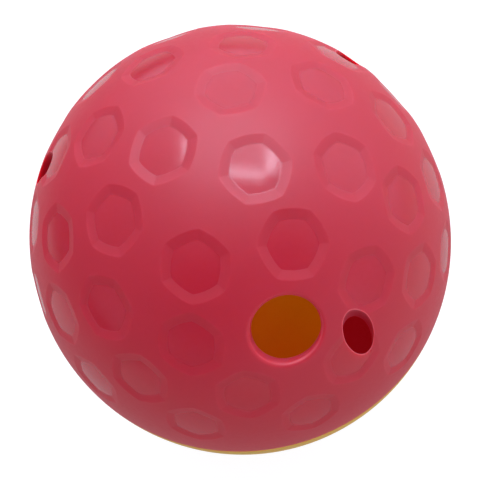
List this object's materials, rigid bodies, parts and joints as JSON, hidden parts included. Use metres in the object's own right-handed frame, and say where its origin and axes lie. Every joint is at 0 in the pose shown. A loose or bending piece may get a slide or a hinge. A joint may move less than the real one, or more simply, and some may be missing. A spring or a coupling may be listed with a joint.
{
  "type": "treat dispensing ball",
  "caption": "Hollow ball with a hexagon-dimpled two-colour shell, a lipped loading hole, small round ports, and a turning baffle disc inside; the halves pull apart.",
  "frame": {"origin": "centre of the ball, in the plane of the seam between its two halves", "axes": "+Z towards the pole of the pink half, -Z towards the flat foot of the yellow half, -Y the side that the loading hole faces (its axis leans 45.6 degrees from +Z towards -Y)"},
  "size_m": [0.1138, 0.1138, 0.113],
  "materials": {
    "pink_shell": "satin",
    "yellow_shell": "satin",
    "red_disc": "matte"
  },
  "bodies": {
    "rear_half": {"rear_shell": "yellow_shell"},
    "front_half": {"front_shell": "pink_shell"},
    "disc": {"baffle_disc": "red_disc"}
  },
  "joints": [
    {"name": "pull_apart", "type": "slide", "parent": "rear_half", "child": "front_half", "axis": [0, 0, 1], "range_m": [0, 0.06]},
    {"name": "disc_turn", "type": "hinge", "parent": "rear_half", "child": "disc", "pos_m": [0, 0, -0.0068], "axis": [0, 0, 1], "continuous": true}
  ]
}
